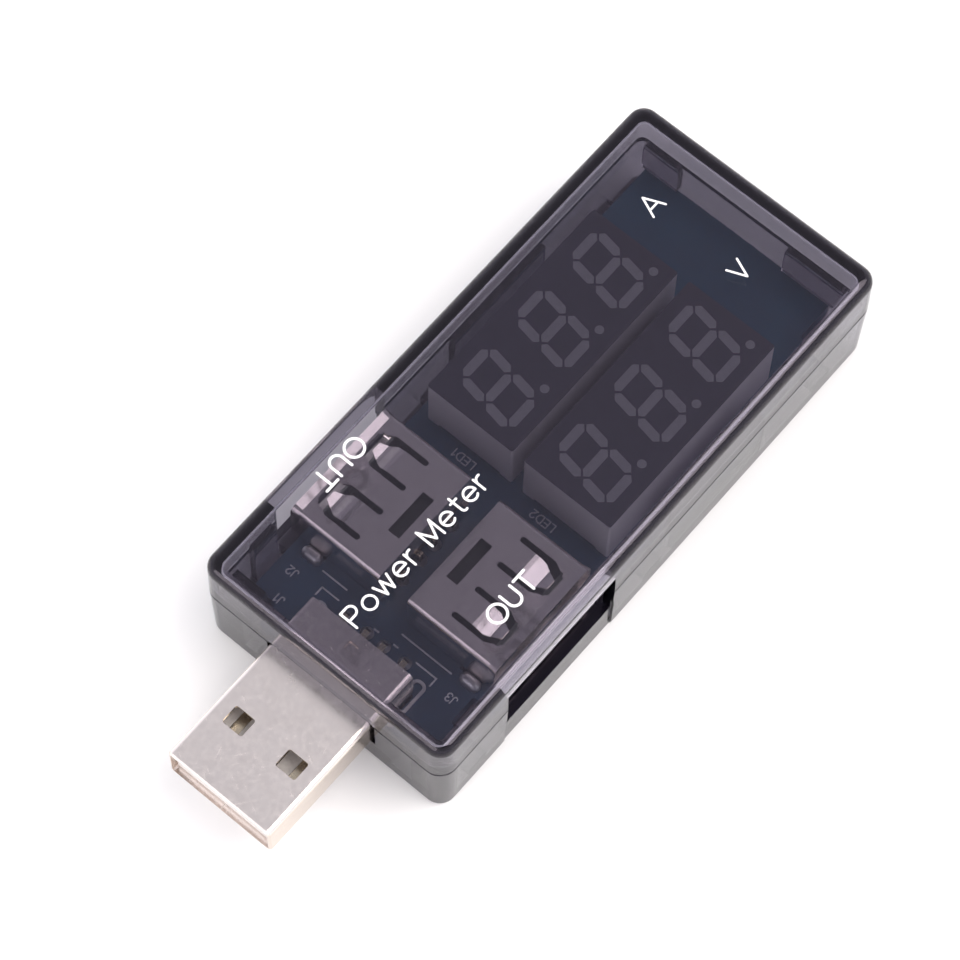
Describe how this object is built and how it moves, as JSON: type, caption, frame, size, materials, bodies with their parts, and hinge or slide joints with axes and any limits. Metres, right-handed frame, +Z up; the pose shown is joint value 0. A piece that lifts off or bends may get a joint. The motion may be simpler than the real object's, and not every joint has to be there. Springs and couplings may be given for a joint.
{
  "type": "usb power meter",
  "caption": "Inline USB meter: smoked flat case with a USB-A plug, side sockets, and current and voltage digit displays over a circuit board.",
  "frame": {"origin": "centre of the bounding box's underside", "axes": "+X from the plug to the far end, +Y to the left seen from the plug, +Z up out of the display face"},
  "size_m": [0.0758, 0.0286, 0.0142],
  "materials": {
    "smoked_plastic": "glossy translucent smoke",
    "white_print": "satin pad print",
    "board_blue": "semi-gloss solder mask",
    "board_print": "matte ink",
    "chip_black": "matte moulding",
    "ceramic_grey": "fired ceramic",
    "tin": "bright tin",
    "nickel_plate": "bright nickel with fine scratches",
    "contact_metal": "gold flash",
    "pale_insulator": "moulded nylon",
    "insulator": "moulded nylon",
    "display_plastic": "satin",
    "segment_film": "satin diffuser"
  },
  "bodies": {
    "root": {"top_cover": "smoked_plastic", "bottom_case": "smoked_plastic", "cover_lettering": "white_print", "circuit_board": "board_blue", "board_silkscreen": "board_print", "measuring_chips": "chip_black", "measuring_chip_leads": "tin", "board_small_parts": "ceramic_grey", "solder_joints": "tin", "plug_shell": "nickel_plate", "plug_insulator": "pale_insulator", "plug_contacts": "contact_metal", "left_socket_shell": "nickel_plate", "left_socket_insulator": "insulator", "left_socket_contacts": "contact_metal", "right_socket_shell": "nickel_plate", "right_socket_insulator": "insulator", "right_socket_contacts": "contact_metal", "current_display_housing": "display_plastic", "current_display_segments": "segment_film", "current_display_pins": "tin", "voltage_display_housing": "display_plastic", "voltage_display_segments": "segment_film", "voltage_display_pins": "tin"}
  },
  "joints": []
}
